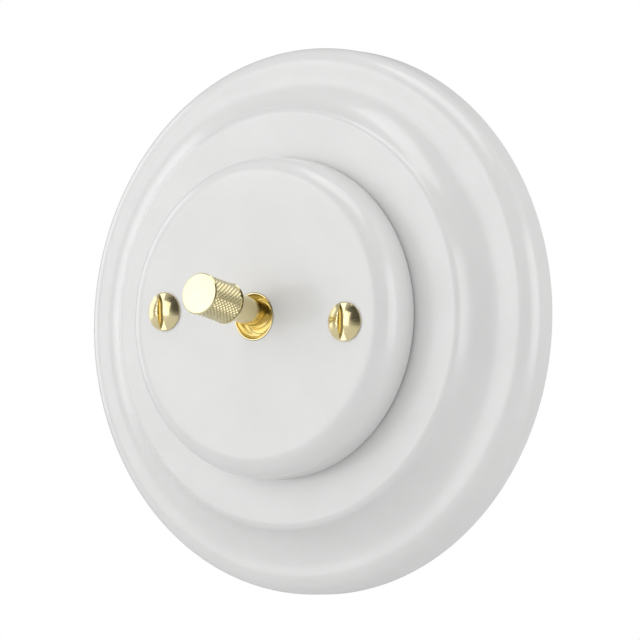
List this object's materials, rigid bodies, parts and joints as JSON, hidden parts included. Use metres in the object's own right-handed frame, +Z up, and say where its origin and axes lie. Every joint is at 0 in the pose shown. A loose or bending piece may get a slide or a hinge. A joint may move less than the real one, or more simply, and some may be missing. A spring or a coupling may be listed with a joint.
{
  "type": "toggle wall switch",
  "caption": "Flush round porcelain wall switch with a stepped frame, a round cover held by slotted dome screws and a knurled brass toggle lever.",
  "frame": {"origin": "on the wall plane, at the centre of the wall box screw pattern and of the round frame", "axes": "+Z up the wall, +X to the right seen from the room, +Y into the wall, so the lever points to -Y"},
  "size_m": [0.1, 0.0575, 0.1],
  "materials": {
    "glazed_porcelain": "glossy white glaze",
    "polished_brass": "polished, pale gold",
    "terminal_brass": "machined",
    "zinc_steel": "zinc plated",
    "spring_steel": "bright",
    "steatite": "unglazed",
    "moulded_phenolic": "moulded",
    "vulcanised_fibre": "plain"
  },
  "bodies": {
    "root": {"porcelain_frame": "glazed_porcelain", "porcelain_cover": "glazed_porcelain", "cover_screws": "polished_brass", "cover_washers": "vulcanised_fibre", "cover_pillars": "terminal_brass", "mounting_plate": "zinc_steel", "toggle_bush": "polished_brass", "lock_washer": "zinc_steel", "bush_nut": "terminal_brass", "pivot_pin": "spring_steel", "rocker_pin": "spring_steel", "fixed_contacts": "terminal_brass", "common_terminal": "terminal_brass", "upper_line_terminal": "terminal_brass", "lower_line_terminal": "terminal_brass", "terminal_screws": "terminal_brass", "earth_terminal": "terminal_brass", "earth_screw": "terminal_brass", "switch_base": "steatite", "mechanism_cap": "steatite", "mechanism_screws": "zinc_steel", "mechanism_nuts": "zinc_steel"},
    "lever": {"lever_shaft": "polished_brass", "knob": "polished_brass", "plunger_spring": "spring_steel"},
    "plunger": {"plunger": "spring_steel"},
    "rocker": {"contact_rocker": "moulded_phenolic", "rocker_saddle": "zinc_steel", "contact_bridge": "terminal_brass"}
  },
  "joints": [
    {"name": "lever_throw", "type": "hinge", "parent": "root", "child": "lever", "pos_m": [0, -0.0181, 0], "axis": [1, 0, 0], "range_deg": [0, 19]},
    {"name": "plunger_slide", "type": "slide", "parent": "lever", "child": "plunger", "axis": [0, -0.9863, 0.165], "range_m": [0, 0.0006], "stiffness_N_per_m": 900, "springref_m": -0.001, "deforming": ["plunger_spring"]},
    {"name": "rocker_tilt", "type": "hinge", "parent": "root", "child": "rocker", "pos_m": [0, 0.0004, 0], "axis": [1, 0, 0], "range_deg": [-12, 0]}
  ],
  "couplings": [
    {"joint": "rocker_tilt", "follows": "lever_throw", "ratio": -0.63158}
  ]
}
